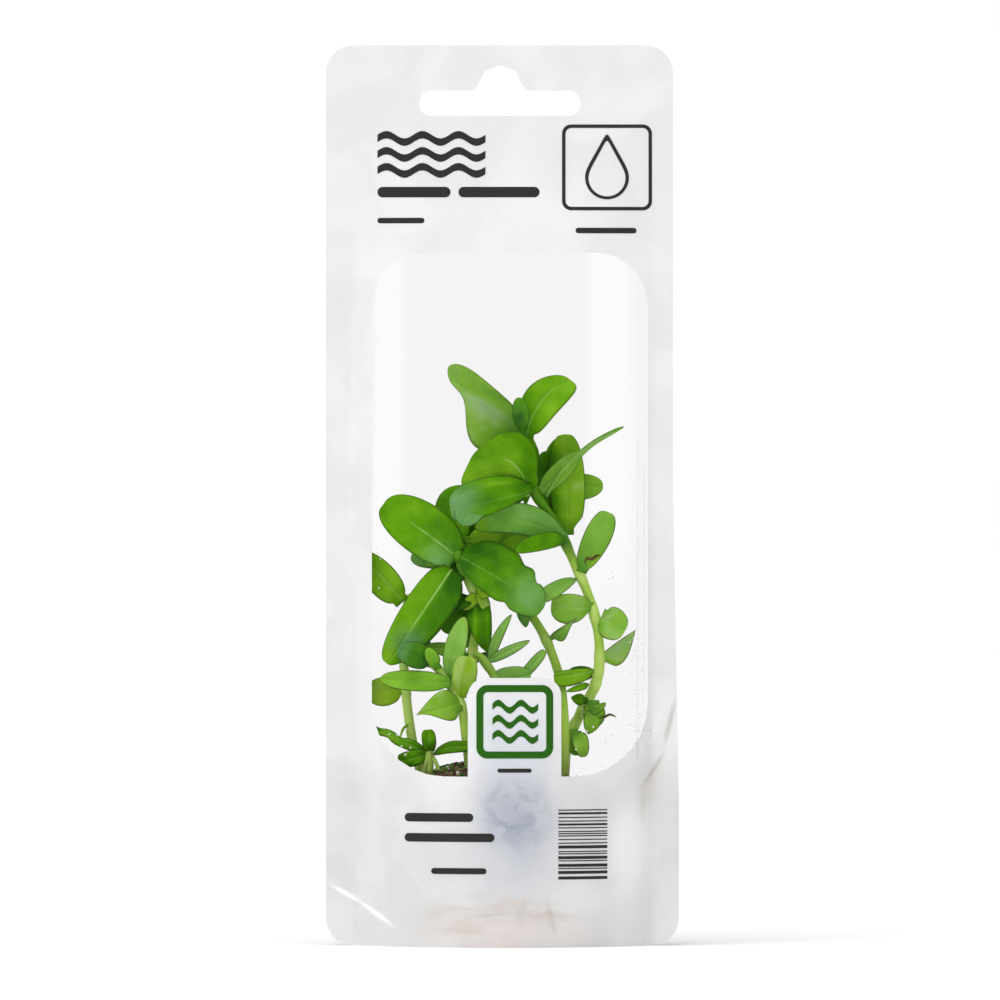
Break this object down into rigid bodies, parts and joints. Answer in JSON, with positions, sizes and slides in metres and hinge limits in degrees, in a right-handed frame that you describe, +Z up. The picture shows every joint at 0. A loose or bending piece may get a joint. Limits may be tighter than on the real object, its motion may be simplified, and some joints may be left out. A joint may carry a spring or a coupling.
{
  "type": "potted lemon bacopa in a hanging stand-up pouch",
  "caption": "Leafy aquarium stem plant in a slotted net pot, sealed in a clear stand-up film pouch with a flat header and a hang slot.",
  "frame": {"origin": "under the middle of the pouch, in the plane it stands on", "axes": "+Z up to the header, the front of the pouch faces -Y, +X to the right seen from the front"},
  "size_m": [0.0706, 0.0384, 0.18],
  "materials": {
    "clear_film": "clear glossy laminated film",
    "printed_film": "glossy film with a translucent white print",
    "print_dark": "flat dark grey printing ink",
    "print_green": "flat green printing ink",
    "pot_plastic": "moulded satin black plastic",
    "growing_medium": "damp fibrous brown growing medium",
    "stem": "smooth fleshy yellow-green stem, slightly translucent",
    "leaf": "waxy leaf with a soft sheen, pale midrib and darker margin",
    "young_leaf": "young waxy yellow-green leaf"
  },
  "bodies": {
    "root": {"pouch_front": "printed_film", "pouch_back": "clear_film", "pouch_gusset": "clear_film", "net_pot": "pot_plastic", "root_ball": "growing_medium", "stem_tall": "stem", "stem_middle": "stem", "stem_left": "stem", "stem_front": "stem", "stem_centre": "stem", "shoot_short": "young_leaf", "sprout": "young_leaf", "leaf_tall_01": "leaf", "leaf_tall_02": "leaf", "leaf_tall_bud": "leaf", "leaf_tall_03": "leaf", "leaf_tall_04": "leaf", "leaf_tall_05": "leaf", "leaf_tall_06": "leaf", "leaf_tall_07": "leaf", "leaf_tall_08": "leaf", "leaf_tall_09": "leaf", "leaf_tall_10": "leaf", "leaf_tall_11": "leaf", "leaf_tall_12": "leaf", "leaf_tall_13": "leaf", "leaf_tall_14": "leaf", "leaf_tall_15": "leaf", "leaf_tall_16": "leaf", "leaf_tall_17": "leaf", "leaf_tall_18": "leaf", "leaf_tall_19": "leaf", "leaf_tall_20": "leaf", "leaf_middle_01": "leaf", "leaf_middle_02": "leaf", "leaf_centre_01": "leaf", "leaf_centre_02": "leaf", "leaf_centre_03": "leaf", "leaf_centre_04": "leaf", "leaf_centre_05": "leaf", "leaf_centre_06": "leaf", "leaf_centre_07": "leaf", "leaf_centre_08": "leaf", "leaf_centre_09": "leaf", "leaf_centre_10": "leaf", "leaf_left_01": "leaf", "leaf_left_02": "leaf", "leaf_front_01": "leaf", "leaf_front_02": "leaf", "leaf_front_03": "leaf", "leaf_front_04": "leaf", "leaf_front_05": "leaf", "leaf_back_01": "leaf", "leaf_back_02": "leaf", "leaf_back_03": "leaf", "leaf_back_04": "leaf", "leaf_back_05": "leaf", "leaf_back_06": "leaf", "leaf_back_07": "leaf"}
  },
  "joints": []
}
